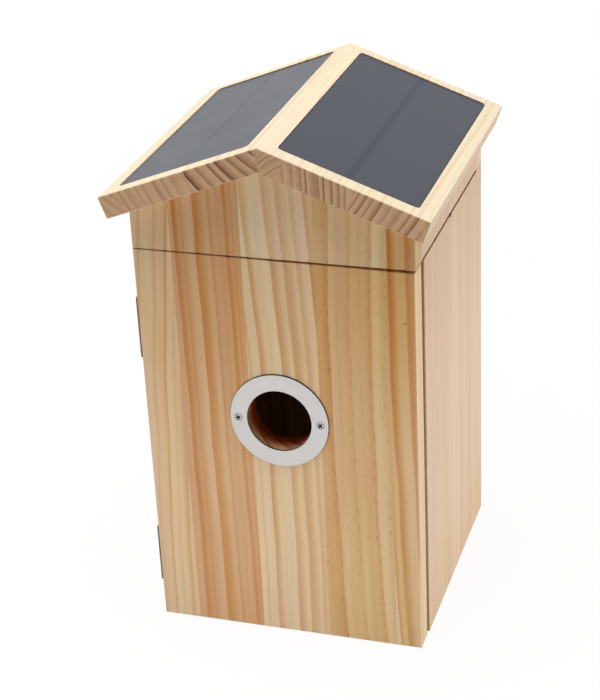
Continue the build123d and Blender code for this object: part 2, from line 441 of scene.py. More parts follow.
# Dark spots: the middle, the reach along each axis, where 0 leaves the axis out, and the cover
KNOT = ((73.5 * MM, 0.0, 210.5 * MM), (0.9 * MM, 0.0, 0.7 * MM), 0.8)
NICK = ((80 * MM, 4.5 * MM, 240 * MM), (6 * MM, 3.5 * MM, 1.1 * MM), 0.85)


def stave_values(paint, across, staves, *groups):
    """Which stave a point lies in, counted from 0, and its values of each group of up to three fields."""
    steps = [across > one.start for one in staves[1:]]
    found = [sum(steps[1:], steps[0])]
    for fields in groups:
        spare = [0.0] * (len(AXES) - len(fields))
        values = [[getattr(one, field) for field in fields] + spare for one in staves]
        mixed = values[0]
        for step, value in zip(steps, values[1:]):
            mixed = paint.mix_vector(step, mixed, value)
        found.append([paint.along(mixed, axis) for _, axis in zip(fields, AXES)])
    return found


def round_growth(staves):
    """Growth with round rings about each stave's pith, so that faces, edges and ends agree."""

    def grow(paint, across, depth, grain):
        wood = bpy.context.scene.nest_box_wood
        number, (pith_across, pith_depth, lean), (ring, contrast, warmth) = stave_values(
            paint, across, staves, ("pith_across", "pith_depth", "lean"), ("ring", "contrast", "warmth")
        )
        seed = number * STAVE_SEED
        board = paint.point(across + seed, depth, grain)
        wave = paint.swing(board, WAVE_SCALES, detail=1.0)
        ripple = paint.swing(board, RIPPLE_SCALES, detail=1.0)
        sideways = across + lean * grain - pith_across
        sunk = depth - pith_depth
        radius = (sideways * sideways + sunk * sunk).root() + wave * WAVE + ripple * RIPPLE
        even = radius / ring + seed
        rings = even + paint.noise(paint.point(even, seed, 0.0), UNEVEN_SCALES, detail=1.0) * UNEVEN
        strength = FAINTEST_RING + (1.0 - FAINTEST_RING) * paint.hash(rings.floor() + seed)
        late = paint.ramp(rings.fraction(), LATE_WOOD_STOPS) * contrast * strength
        return Growth(late, warmth, late * wood.plain_canals, board)

    return grow


def front_growth(paint, across, depth, grain, prefix=""):
    """Growth of the door, or with a prefix of the gable over it, with the rings of FRONT_RINGS."""
    wood = bpy.context.scene.nest_box_wood
    number, (lean, bend, late_first), (contrast, warmth, canals), (flush, cast) = stave_values(
        paint,
        across,
        FRONT_STAVES,
        ("lean", "bend", "late_first"),
        (f"{prefix}contrast", f"{prefix}warmth", "canals"),
        ("flush", "cast"),
    )
    seed = number * STAVE_SEED
    board = paint.point(across + seed, depth, grain)
    wave = paint.swing(board, FRONT_WAVE_SCALES, detail=1.0)
    ripple = paint.swing(board, FRONT_RIPPLE_SCALES, detail=1.0)
    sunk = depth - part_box("front_door")[0].y
    start = across - grain * (lean + bend * grain) + sunk * RING_SLANT
    first, last = FRONT_RINGS[0].start, FRONT_RINGS[-1].start
    share = (start + wave * FRONT_WAVE + ripple * RIPPLE - first) / (last - first)
    count = len(FRONT_RINGS) - 1
    starts, traits = [], []
    for index, ring in enumerate(FRONT_RINGS):
        starts.append(((ring.start - first) / (last - first), index / count))
        traits.append((index / count, (ring.strength, ring.late_share, ring.warmth + WARMTH_LIFT)))
    rings = paint.ramp(share, starts) * count
    trait = paint.ramp((rings.floor() + 0.5) / count, traits, "CONSTANT")
    strength, late_share, ring_warmth = (paint.along(trait, axis) for axis in AXES)
    part = rings.fraction()
    turned = part + late_first * (1.0 - 2.0 * part)
    fading = paint.noise(paint.point(rings.floor(), seed, grain), FADING_SCALES, detail=1.0)
    late_wood = turned.fade(1.0 - LATE_START * late_share, 1.0 - LATE_FULL * late_share)
    band = late_wood * (1.0 - SOFT_LOSS * turned.fade(SOFT_START, 1.0))
    foot = wood.foot_contrast + (1.0 - wood.foot_contrast) * grain.fade(*LINE_HEIGHTS)
    late = band * strength * contrast * foot * (FADED_LINE + LINE_GAIN * fading)
    # Painted shade under the roof: the door's colour deepens towards its top, and the gable gets none
    rise = 0.0 if prefix else flush * grain.fade(*PAINTED_TOP_SHADE_HEIGHTS)
    return Growth(late, warmth + ring_warmth - WARMTH_LIFT, canals * band * strength, board, rise, cast)


def pine(name, board, growth, colours, face_contrast=1.0, marks=None):
    """Pine with the growth that one function gives it and the marks that another adds.

    colours are the pale early wood, the warm early wood, the late wood and the colour of the edges, which is
    partly painted light on the door and painted shade on the side, floor and ceiling boards.
    """
    wood = bpy.context.scene.nest_box_wood
    paint = new_material(name)
    place = paint.place()
    moved = paint.minus(place, board.origin)
    across, depth, grain = (paint.along(moved, axis) for axis in (board.across, board.depth, board.grain))
    late, warmth, canals, lie, flush, stave_cast = growth(paint, across, depth, grain)

    streak = paint.swing(lie, STREAK_SCALES)
    fibre = paint.swing(lie, FIBRE_SCALES)
    cloud = paint.swing(lie, CLOUD_SCALES)
    hue = paint.swing(lie, CAST_SCALES, detail=1.0)
    dashes = paint.noise(lie, DASH_SCALES, detail=0.0).fade(*DASH_LEVELS)
    end = abs(paint.along(paint.facing(), board.grain)).fade(*CUT_FACING)
    edge = abs(paint.along(paint.facing(), board.across)).fade(*CUT_FACING)

    pale, warm, dark, edge_colour = colours
    early = paint.mix_colour(warmth + cloud * wood.cloud, pale, warm)
    # Edges take their own colour: partly painted light on the door, painted shade on the side, floor and
    # ceiling boards
    faced = paint.mix_colour(edge, early, edge_colour)
    cut = paint.mix_colour(end, faced, wood.end_pale)
    shown = late * (1.0 - edge * EDGE_LOSS) * (face_contrast + end * (1.0 - face_contrast))
    ringed = paint.mix_colour(shown, cut, paint.mix_colour(end, dark, wood.end_dark))
    canalled = paint.mix_colour(canals * dashes * wood.canals * (1.0 - end), ringed, wood.canal)
    lit = paint.dim(canalled, 1.0 + streak * wood.streak + fibre * wood.fibre)
    cast = hue * wood.cast + stave_cast * (1.0 - edge)
    hued = paint.stretch(lit, paint.point(1.0, 1.0 - CAST_GREEN * cast, 1.0 + cast))
    # Painted shade under the roof: the door's colour deepens towards its top, but not on its edges
    colour = paint.tone(hued, flush * (1.0 - edge), wood.flush)
    return paint.surface(
        Base_Color=marks(paint, place, colour) if marks else colour,
        Roughness=wood.roughness + fibre * ROUGHNESS_SPREAD,
        Normal=paint.bump(fibre * FIBRE_RELIEF + late * RING_RELIEF, wood.relief),
        Specular_IOR_Level=wood.specular,
    )


def spot(paint, place, centre, reaches, cover):
    """How much of a point a dark spot covers."""
    scales = tuple(1 / reach if reach else 0.0 for reach in reaches)
    distance = paint.length(paint.stretch(paint.minus(place, centre), scales))
    return (1.0 - distance.fade(SPOT_CORE, 1.0)) * cover


def front_marks(paint, place, colour):
    """The bored hole's wood, with painted bounce light near its mouth, painted shade that deepens inwards and
    on its sides, and a pin knot at the upper right.
    """
    wood = bpy.context.scene.nest_box_wood
    hole = next(mount for mount in frame["record"]["mounts"] if mount["name"] == "entrance_hole")
    low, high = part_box("front_door")
    distance = paint.length(paint.stretch(paint.minus(place, hole["pos_m"]), (1, 0, 1)))
    radius = hole["dims"]["r_mm"] * MM
    shaded_bore = 1.0 - distance.fade(radius, radius + BORE_RIM)
    # Painted shade on the hole's sides
    side_shaded = paint.tone(colour, abs(paint.along(paint.facing(), X)), wood.painted_bore_side_shade)
    # Painted bounce light: the colour times itself, made brighter
    painted_bounce_light = paint.dim(paint.stretch(side_shaded, colour), BORE_LIGHT_GAIN)
    inward = (paint.along(place, Y) - low.y) / (high.y - low.y)
    # Painted shade that deepens towards the hole's inner end
    shaded_inward = paint.tone(painted_bounce_light, inward.fade(0.0, BORE_REACH), wood.shaded_bore)
    bored = paint.mix_colour(inward.fade(0.0, BORE_EDGE), side_shaded, shaded_inward)
    return paint.mix_colour(spot(paint, place, *KNOT), paint.mix_colour(shaded_bore, colour, bored), wood.canal)


def side_marks(paint, place, colour):
    """Painted shade of the eaves at the top of the side boards, a deeper colour at their foot, and a nick in
    the right wall's top edge.
    """
    wood = bpy.context.scene.nest_box_wood
    height = paint.along(place, Z)
    # Painted shade of the eaves, growing towards the boards' tops
    eave_shaded = paint.tone(colour, height.fade(*PAINTED_EAVE_SHADE_HEIGHTS), wood.painted_eave_shade)
    footed = paint.tone(eave_shaded, 1.0 - height.fade(*SIDE_FOOT_HEIGHTS), wood.side_foot)
    return paint.mix_colour(spot(paint, place, *NICK), footed, wood.nick)


def finish(material, *nodes):
    """Gives CAD nodes a material."""
    for node in nodes:
        mesh = frame["nodes"][node].data
        mesh.materials.clear()
        mesh.materials.append(material)


# Settings that a user would change

def colour_prop(name, description, default):
    return FloatVectorProperty(
        name=name, description=description, default=default, size=4, min=0.0, max=1.0, subtype="COLOR"
    )


def number_prop(name, description, default, **traits):
    return FloatProperty(name=name, description=description, default=default, **traits)


def length_prop(name, description, default):
    return number_prop(name, description, default, unit="LENGTH", precision=5)


def share_prop(name, description, default):
    return number_prop(name, description, default, subtype="FACTOR")


class NestBoxWood(bpy.types.PropertyGroup):
    """Colours of the pine, and the grain that all boards share."""

    front_pale: colour_prop("Front pale", "Pale early wood of the door and gables", tint(226, 200, 163))
    front_warm: colour_prop("Front warm", "Warm early wood of the door and gables", tint(206, 161, 113))
    front_dark: colour_prop("Front dark", "Late wood of the door and gables", tint(186, 120, 54))
    # The door's edges, paler and pinker: partly their own grain, partly painted light
    door_edge_painted_light: colour_prop("Door edge", "Edges of the door", tint(238, 210, 174))
    gable_edge: colour_prop("Gable edge", "Edges of the front gable", tint(207, 178, 132))
    # Painted shade under the roof, deepening the door's colour towards its top
    flush: colour_prop("Flush", "Deeper colour of the door's top", (0.965, 0.845, 0.61, 1.0))
    foot_contrast: share_prop("Foot contrast", "Share of the lines' contrast left at the foot", 0.75)
    side_pale: colour_prop("Side pale", "Pale early wood of the side boards", tint(238, 213, 184))
    side_warm: colour_prop("Side warm", "Warm early wood of the side boards", tint(226, 195, 164))
    side_dark: colour_prop("Side dark", "Late wood of the side boards", tint(196, 150, 116))
    # Painted shade of the eaves on the side boards' tops
    painted_eave_shade: colour_prop("Side top", "Deeper colour of the side boards' top", (0.93, 0.897, 0.85, 1.0))
    side_foot: colour_prop("Side foot", "Deeper colour of the side boards' foot", (0.99, 0.935, 0.86, 1.0))
    # Painted shade on the side boards' edges, as in the gap behind the door
    side_edge_painted_shade: colour_prop("Side edge", "Edges of the side boards", tint(206, 172, 140))
    roof_pale: colour_prop("Roof pale", "Pale early wood of the roof boards", tint(241, 227, 199))
    roof_warm: colour_prop("Roof warm", "Warm early wood of the roof boards", tint(236, 213, 177))
    roof_dark: colour_prop("Roof dark", "Late wood of the roof boards", tint(216, 164, 112))
    roof_edge: colour_prop("Roof edge", "Eaves of the roof boards", tint(222, 200, 168))
    end_pale: colour_prop("End pale", "Early wood of the sawn ends", tint(210, 171, 133))
    end_dark: colour_prop("End dark", "Late wood of the sawn ends", tint(116, 68, 34))
    canal: colour_prop("Canal", "Resin canals and the pin knot", tint(140, 82, 48))
    # Painted shade in the bored hole: at its inner end and on its sides
    shaded_bore: colour_prop("Bore", "How the bored hole tints its inner end", (0.35, 0.1, 0.04, 1.0))
    painted_bore_side_shade: colour_prop("Bore wall", "How the bored hole tints its sides", (0.38, 0.24, 0.14, 1.0))
    nick: colour_prop("Nick", "The nick in the right wall's top edge", tint(60, 36, 22))
    roof_top_contrast: share_prop("Roof top contrast", "How much the rings show on the roof's faces", 0.45)
    cloud: share_prop("Cloud", "Broad changes of warmth", 0.7)
    cast: share_prop("Cast", "Changes between a yellow and a pink cast", 0.2)
    streak: share_prop("Streak", "Light and dark streaks along the grain", 0.2)
    fibre: share_prop("Fibre", "Fine fibres along the grain", 0.14)
    canals: share_prop("Canals", "Resin canals in the front", 0.5)
    plain_canals: share_prop("Plain canals", "Resin canals in the other boards", 0.1)
    roughness: share_prop("Roughness", "Roughness of the sanded wood", 0.6)
    specular: share_prop("Specular", "Gloss of the sanded wood", 0.25)
    relief: length_prop("Relief", "Depth of the grain's relief", 0.04 * MM)


class NestBoxPanels(bpy.types.PropertyGroup):
    """Look of the solar panels."""

    cell: colour_prop("Cell", "Colour of the solar cells", (0.022, 0.027, 0.043, 1.0))
    gap: colour_prop("Gap", "Colour along the gap between the cells", (0.006, 0.01, 0.03, 1.0))
    gap_reach: length_prop("Gap reach", "How far the dark of the gap reaches", 2.8 * MM)
    finger_pitch: length_prop("Finger pitch", "Space between the cells' fine conductors", 1.6 * MM)
    roughness: share_prop("Roughness", "Roughness of the panels' film", 0.36)
    specular: share_prop("Specular", "Gloss of the panels' film", 0.4)


class NestBoxCamera(bpy.types.PropertyGroup):
    """Look of the camera under the ceiling."""

    plastic: colour_prop("Plastic", "Colour of the housing", (0.022, 0.022, 0.024, 1.0))
    pupil: colour_prop("Pupil", "Colour of the lens in its middle", (0.004, 0.004, 0.006, 1.0))
    coating: colour_prop("Coating", "Colour of the lens round its middle", (0.02, 0.016, 0.035, 1.0))


class NestBoxSteel(bpy.types.PropertyGroup):
    """Look of the plate, hinges and screws."""

    plate: colour_prop("Plate", "Colour of the entrance plate", (0.6, 0.58, 0.565, 1.0))
    hinge: colour_prop("Hinge", "Colour of the hinges", (0.2, 0.135, 0.098, 1.0))
    screw: colour_prop("Screw", "Colour of the screws", (0.62, 0.6, 0.57, 1.0))
    # Painted shade: the colour of the screws' recesses and of the plate's rims
    painted_shade: colour_prop("Hollow", "Colour of recesses and of the plate's rims", (0.03, 0.026, 0.022, 1.0))


class NestBoxScrews(bpy.types.PropertyGroup):
    """Sizes and places of the screws."""

    plate_circle: length_prop("Plate circle", "Radius of the circle of the plate's screws", 24.2 * MM)
    plate_head: length_prop("Plate head", "Head radius of the plate's screws", 1.95 * MM)
    plate_dome: length_prop("Plate dome", "Rise of the plate's screw heads", 0.45 * MM)
    hinge_head: length_prop("Hinge head", "Head radius of the hinges' screws", 2.15 * MM)
    hinge_dome: length_prop("Hinge dome", "Rise of the hinges' screw heads", 0.15 * MM)
    hinge_low: share_prop("Hinge low", "Place of a leaf's lower screw along it", 0.24)
    hinge_high: share_prop("Hinge high", "Place of a leaf's upper screw along it", 0.76)
    sides: IntProperty(name="Sides", description="Sides of a screw's round head", default=32)


class NestBoxStage(bpy.types.PropertyGroup):
    """Camera, lamps and floor."""

    azimuth: number_prop("Azimuth", "Turn of the camera round the box", math.radians(18.376), subtype="ANGLE")
    elevation: number_prop("Elevation", "Downward tilt of the camera", math.radians(26.595), subtype="ANGLE")
    roll: number_prop("Roll", "Turn of the camera about its view", math.radians(-2.87), subtype="ANGLE")
    camera: FloatVectorProperty(
        name="Camera",
        description="Place of the camera",
        default=(0.29811, -0.93299, 0.63984),
        subtype="TRANSLATION",
    )
    lens: number_prop("Lens", "Focal length in millimetres", 94.62)
    floor_size: length_prop("Floor size", "Side of the floor", 12.0)
    floor_light: share_prop("Floor light", "Share of light that the floor gives back", 0.35)
    floor_shadow: share_prop("Floor shadow", "How much the object's shadow shows", 0.08)
    shadow_reach: length_prop("Shadow reach", "How far from the object its shadow fades out", 0.9)
    ambient: number_prop("Ambient", "Level of the light from all round", 0.2)
    overhead_power: number_prop("Overhead", "Power of the soft lamp overhead", 21.3, unit="POWER")
    side_power: number_prop("Side", "Power of the soft lamp at the right", 4.7, unit="POWER")
    front_power: number_prop("Front", "Power of the low soft lamp in front", 0.86, unit="POWER")
    rear_power: number_prop("Rear", "Power of the low soft lamp behind", 3.0, unit="POWER")


class Lamp(NamedTuple):
    """A soft lamp: its place, the point that it shines at, its panel's sides, and if gloss mirrors it."""

    place: tuple
    aim: tuple
    width: float
    height: float
    mirrored: bool


LAMPS = {
    "overhead": Lamp((-0.15, -0.1, 1.6), (0.0, 0.0, 0.2), 1.2, 1.2, True),
    "side": Lamp((0.9, 0.2, 0.1), (0.08, 0.0, 0.1), 0.9, 0.2, False),
    "front": Lamp((0.0, -0.42, 0.062), (0.0, -0.078, 0.062), 0.6, 0.1, False),
    "rear": Lamp((-0.8, 0.75, 0.12), (-0.05, 0.05, 0.12), 0.8, 0.15, False),
}


# Screws and steel

# Depth of a screw's cone and sizes of its recess's slots, as shares of its head's radius
CONE_DEPTH = 0.55
SLOT_LENGTH, SLOT_WIDTH, SLOT_DEPTH = 1.65, 0.56, 0.5
# Where the slots' cut starts, as a share of the dome's rise
SLOT_TOP = 1.2
# What is left of a cone's and a slot's size at its underside
CONE_TAPER = (0.55, 0.55, 1.0)
SLOT_TAPER = (0.45, 0.55, 1.0)
# Steps from a dome's rim inwards, each a share of the head's radius and of the rise
DOME_STEPS = ((0.12, 0.45), (0.22, 0.35), (0.30, 0.20))
SMOOTH_ANGLE = math.radians(35)
# Least upright part of a level face's normal
LEVEL = 0.9
# Each plate screw's side, the sign of its place and its recess's turn
PLATE_SCREWS = (("left", -1, 0.35), ("right", 1, 0.9))
# Turn of the first hinge screw's recess, and what each next one adds
FIRST_TURN, TURN_STEP = 0.4, 0.7
# How far a leaf's flat stands out, and how far its screws lie off its middle
LEAF_REACH, KNUCKLE_ROOM = 0.95 * MM, 1.0 * MM
# What brush marks, blotches and the painted shade change in the look of steel
BLOTCH_SCALES = (90, 90, 90)
BRUSH_SHADE, BLOTCH_SHADE = 0.14, 0.08
BRUSH_ROUGHNESS, PAINTED_SHADE_ROUGHNESS = 0.25, 0.3
BRUSH_RELIEF = 0.02 * MM
# Each steel's colour setting, the scales of its brush marks, and its roughness; the recess kinds are painted
# dark as shade
STEELS = {
    "plate_steel": ("plate", (50, 2500, 2500), 0.32),
    "hinge_steel": ("hinge", (1500, 1500, 60), 0.4),
    "screw_steel": ("screw", (600, 600, 600), 0.22),
    "screw_recess": ("painted_shade", (900, 900, 900), 0.6),
    "hinge_screw_steel": ("hinge", (700, 700, 700), 0.3),
    "hinge_screw_recess": ("painted_shade", (900, 900, 900), 0.6),
}


def steel(name, painted_shade=None):
    """A kind of satin steel with fine brush marks.

    A function, where there is one, gives what share of a point's steel is painted dark as shade.
    """
    look = bpy.context.scene.nest_box_steel
    colour, brush_scales, roughness = STEELS[name]
    paint = new_material(name)
    brush = paint.swing(paint.place(), brush_scales, detail=3.0)
    blotch = paint.swing(paint.place(), BLOTCH_SCALES)
    shade = 1.0 + brush * BRUSH_SHADE + blotch * BLOTCH_SHADE
    clean = paint.dim(tuple(getattr(look, colour))[:3], shade)
    dark = painted_shade(paint) if painted_shade else 0.0
    return paint.surface(
        Base_Color=paint.mix_colour(dark, clean, look.painted_shade),
        Metallic=1.0,
        Roughness=roughness + brush * BRUSH_ROUGHNESS + dark * PAINTED_SHADE_ROUGHNESS,
        Normal=paint.bump(brush, BRUSH_RELIEF),
    )


def deselect():
    """Leaves nothing selected, in object mode."""
    if bpy.context.object and bpy.context.object.mode != "OBJECT":
        bpy.ops.object.mode_set(mode="OBJECT")
    bpy.ops.object.select_all(action="DESELECT")


def take(piece):
    """Leaves one piece selected and active, in object mode."""
    deselect()
    bpy.context.view_layer.objects.active = piece
    piece.select_set(True)


def discard(piece):
    take(piece)
    bpy.ops.object.delete()


def select_faces(piece, sign):
    """Enters edit mode with only the faces selected that look up, or with a sign of -1 down."""
    bpy.ops.object.mode_set(mode="EDIT")
    bpy.ops.mesh.select_mode(type="FACE")
    bpy.ops.mesh.select_all(action="DESELECT")
    bpy.ops.object.mode_set(mode="OBJECT")
    for face in piece.data.polygons:
        face.select = face.normal.z * sign > LEVEL
    bpy.ops.object.mode_set(mode="EDIT")


def taper(piece, scales):
    """Puts a new piece's place and size into its mesh and narrows its foot."""
    bpy.ops.object.transform_apply(location=True, rotation=True, scale=True)
    select_faces(piece, -1)
    bpy.ops.transform.resize(value=scales)
    bpy.ops.object.mode_set(mode="OBJECT")


def model_cross_bar(length, width, top, bottom, material):
    """A bar that narrows downwards, which cuts one slot of a cross recess and leaves its material, painted
    shade, on the slot's faces.
    """
    deselect()
    middle = (0, 0, (top + bottom) / 2)
    bpy.ops.mesh.primitive_cube_add(size=1.0, location=middle, scale=(length, width, top - bottom))
    bar = bpy.context.object
    taper(bar, SLOT_TAPER)
    bar.data.materials.append(material)
    return bar


def model_screw(head, dome, sides, metal, painted_shade):
    """A countersunk screw with a cross recess painted dark as shade, its rim at the origin and its head up.
    """
    cone = head * CONE_DEPTH
    deselect()
    bpy.ops.mesh.primitive_cylinder_add(vertices=sides, radius=head, depth=cone, location=(0, 0, -cone / 2))
    screw = bpy.context.object
    taper(screw, CONE_TAPER)
    select_faces(screw, 1)
    for width_share, rise_share in DOME_STEPS:
        bpy.ops.mesh.inset(thickness=head * width_share, depth=dome * rise_share)
    bpy.ops.object.mode_set(mode="OBJECT")
    screw.data.materials.append(metal)
    length, width = head * SLOT_LENGTH, head * SLOT_WIDTH
    for sizes in ((length, width), (width, length)):
        bar = model_cross_bar(*sizes, dome * SLOT_TOP, -head * SLOT_DEPTH, painted_shade)
        cut = screw.modifiers.new("recess", "BOOLEAN")
        cut.operation = "DIFFERENCE"
        cut.material_mode = "TRANSFER"
        cut.object = bar
        take(screw)
        bpy.ops.object.modifier_apply(modifier=cut.name)
        discard(bar)
    take(screw)
    bpy.ops.object.shade_smooth_by_angle(angle=SMOOTH_ANGLE)
    return screw


def place_screws(kind, head, dome, places):
    """Models a screw of a kind of steel and copies it to its places.

    A place is a name, a point, the way the head faces, the turn of its recess and a body.
    """
    sides = bpy.context.scene.nest_box_screws.sides
    # The recess gets a steel painted dark as shade
    pattern = model_screw(head, dome, sides, steel(f"{kind}_steel"), steel(f"{kind}_recess"))
    for name, point, facing, turn, body in places:
        take(pattern)
        bpy.ops.object.duplicate(linked=False)
        screw = bpy.context.object
        screw.name = name
        turned = Vector(facing).to_track_quat("Z", "Y").to_matrix().to_4x4() @ Matrix.Rotation(turn, 4, "Z")
        screw.matrix_world = Matrix.Translation(point) @ turned
        bpy.ops.object.transform_apply(location=True, rotation=True, scale=True)
        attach(screw, body)
    discard(pattern)


# Operators, one for each group of pieces

class NESTBOX_OT_front_boards(bpy.types.Operator):
    """Finish the door and the front gable, cut from one glued board"""

    bl_idname = "nestbox.front_boards"
    bl_label = "Front boards"

    def execute(self, context):
        wood = context.scene.nest_box_wood
        board = Board(X, Y, Z)
        colours = (wood.front_pale, wood.front_warm, wood.front_dark)
        door = pine("door_pine", board, front_growth, (*colours, wood.door_edge_painted_light), marks=front_marks)
        gable_growth = partial(front_growth, prefix="gable_")
        gable = pine("gable_pine", board, gable_growth, (*colours, wood.gable_edge))
        finish(door, "front_door")
        finish(gable, "front_gable")
        return {"FINISHED"}


class NESTBOX_OT_body_boards(bpy.types.Operator):
    """Finish the walls, the rear gable, the lid's rails, the floor and the ceiling"""

    bl_idname = "nestbox.body_boards"
    bl_label = "Body boards"

    def execute(self, context):
        wood = context.scene.nest_box_wood
        side_board = Board(Y, X, Z)
        rear_board = Board(X, Y, Z)
        flat_board = Board(X, Z, Y)
        side_colours = (wood.side_pale, wood.side_warm, wood.side_dark, wood.side_edge_painted_shade)
        rear_colours = (wood.front_pale, wood.front_warm, wood.front_dark, wood.side_pale)
        side = pine("side_pine", side_board, round_growth(SIDE_STAVES), side_colours, marks=side_marks)
        rear = pine("rear_pine", rear_board, round_growth(REAR_STAVES), rear_colours)
        flat = pine("flat_pine", flat_board, round_growth(FLAT_STAVES), side_colours)
        finish(side, "left_wall", "right_wall", "left_lid_rail", "right_lid_rail")
        finish(rear, "rear_wall", "rear_gable")
        finish(flat, "floor_board", "ceiling_board")
        return {"FINISHED"}


class NESTBOX_OT_roof_boards(bpy.types.Operator):
    """Finish the two roof boards, whose grain runs from front to back"""

    bl_idname = "nestbox.roof_boards"
    bl_label = "Roof boards"

    def execute(self, context):
        wood = context.scene.nest_box_wood
        colours = (wood.roof_pale, wood.roof_warm, wood.roof_dark, wood.roof_edge)
        for side, sign, staves in (("left", -1, LEFT_ROOF_STAVES), ("right", 1, RIGHT_ROOF_STAVES)):
            pitch = self.pitch(side)
            down = Vector((sign * math.cos(pitch), 0, -math.sin(pitch)))
            inward = Vector((-sign * math.sin(pitch), 0, -math.cos(pitch)))
            board = Board(down, inward, Y, RIDGE)
            growth = round_growth(staves)
            material = pine(f"{side}_roof_pine", board, growth, colours, wood.roof_top_contrast)
            finish(material, f"{side}_roof_board")
        return {"FINISHED"}

    def pitch(self, side):
        """The slope of a roof board, from the corner of its eave."""
        corners = [vertex.co for vertex in frame["nodes"][f"{side}_roof_board"].data.vertices]
        eave = max(corners, key=lambda corner: abs(corner.x))
        return math.atan2(RIDGE.z - eave.z, abs(eave.x))


class NESTBOX_OT_solar_panels(bpy.types.Operator):
    """Finish the solar panels: dark cells under a satin film"""

    bl_idname = "nestbox.solar_panels"
    bl_label = "Solar panels"
    mottle_scales, mottle_shade = (40, 40, 40), 0.16
    grain_scales, grain_shade = (1800, 1800, 1800), 0.08
    finger_shade = 0.05
    roughness_spread = 0.08
    relief = 0.01 * MM
    # Where a conductor starts and is full, in pitches from midway between two
    finger_edges = (0.42, 0.48)

    def execute(self, context):
        panels = context.scene.nest_box_panels
        low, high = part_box("right_panel_cells")
        for part, fingers in (("cells", self.finger_shade), ("board", 0.0)):
            paint = new_material(f"panel_{part}")
            place = paint.place()
            sideways = abs(abs(paint.along(place, X)) - (low.x + high.x) / 2)
            gap = 1.0 - sideways.fade(0.0, panels.gap_reach)
            mottle = paint.swing(place, self.mottle_scales, detail=3.0)
            grain = paint.swing(place, self.grain_scales, detail=1.0)
            line = (paint.along(place, Y) / panels.finger_pitch).fraction()
            finger = abs(line - 0.5).fade(*self.finger_edges) * fingers
            shade = 1.0 + mottle * self.mottle_shade + grain * self.grain_shade + finger
            material = paint.surface(
                Base_Color=paint.dim(paint.mix_colour(gap, panels.cell, panels.gap), shade),
                Roughness=panels.roughness + mottle * self.roughness_spread,
                Normal=paint.bump(grain, self.relief),
                Specular_IOR_Level=panels.specular,
            )
            finish(material, f"left_panel_{part}", f"right_panel_{part}")
        return {"FINISHED"}


class NESTBOX_OT_camera_unit(bpy.types.Operator):
    """Finish the camera under the ceiling: matt plastic and a coated lens"""

    bl_idname = "nestbox.camera_unit"
    bl_label = "Camera"
    grain_scales = (2200, 2200, 2200)
    wear_scales, wear_shade = (60, 60, 60), 0.5
    roughness, roughness_spread = 0.5, 0.3
    relief = 0.03 * MM
    # Where the lens's dark middle ends and its coating is full
    pupil_radii = (1.6 * MM, 3.4 * MM)
    pupil_roughness, coating_roughness = 0.04, 0.06

    def execute(self, context):
        look = context.scene.nest_box_camera
        paint = new_material("camera_plastic")
        grain = paint.swing(paint.place(), self.grain_scales)
        wear = paint.swing(paint.place(), self.wear_scales, detail=3.0)
        plastic = paint.surface(
            Base_Color=paint.dim(tuple(look.plastic)[:3], 1.0 + wear * self.wear_shade),
            Roughness=self.roughness + grain * self.roughness_spread,
            Normal=paint.bump(grain, self.relief),
        )
        finish(plastic, "camera_housing")
        paint = new_material("camera_glass")
        low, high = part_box("camera_lens")
        reach = paint.length(paint.stretch(paint.minus(paint.place(), (low + high) / 2), (1, 1, 0)))
        coating = reach.fade(*self.pupil_radii)
        glass = paint.surface(
            Base_Color=paint.mix_colour(coating, look.pupil, look.coating),
            Roughness=self.pupil_roughness + coating * self.coating_roughness,
            Coat_Weight=1.0,
        )
        finish(glass, "camera_lens")
        return {"FINISHED"}


class NESTBOX_OT_entrance_plate(bpy.types.Operator):
    """Finish the steel plate round the entrance hole, with painted shade on its rims"""

    bl_idname = "nestbox.entrance_plate"
    bl_label = "Entrance plate"
    # How squarely a face lies to the front where a rim's painted shade fades, and where it ends
    rim_facing = (0.6, 0.9)

    def execute(self, context):
        finish(steel("plate_steel", self.painted_rim_shade), "entrance_plate")
        return {"FINISHED"}

    # Painted shade on the plate's rims: the faces that don't look to the front
    def painted_rim_shade(self, paint):
        return 1.0 - abs(paint.along(paint.facing(), Y)).fade(*self.rim_facing)


class NESTBOX_OT_hinges(bpy.types.Operator):
    """Finish the two butt hinges on the left side"""

    bl_idname = "nestbox.hinges"
    bl_label = "Hinges"

    def execute(self, context):
        material = steel("hinge_steel")
        for place in ("upper", "lower"):
            finish(material, *(f"{place}_hinge_{part}" for part in ("wall_leaf", "door_leaf", "pin")))
        return {"FINISHED"}


class NESTBOX_OT_plate_screws(bpy.types.Operator):
    """Model the two domed screws of the entrance plate"""

    bl_idname = "nestbox.plate_screws"
    bl_label = "Plate screws"

    def execute(self, context):
        screws = context.scene.nest_box_screws
        low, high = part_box("entrance_plate")
        centre = (low + high) / 2
        places = []
        for side, sign, turn in PLATE_SCREWS:
            point = (centre.x + sign * screws.plate_circle, low.y, centre.z)
            places.append((f"plate_screw_{side}", point, (0, -1, 0), turn, "door"))
        place_screws("screw", screws.plate_head, screws.plate_dome, places)
        return {"FINISHED"}


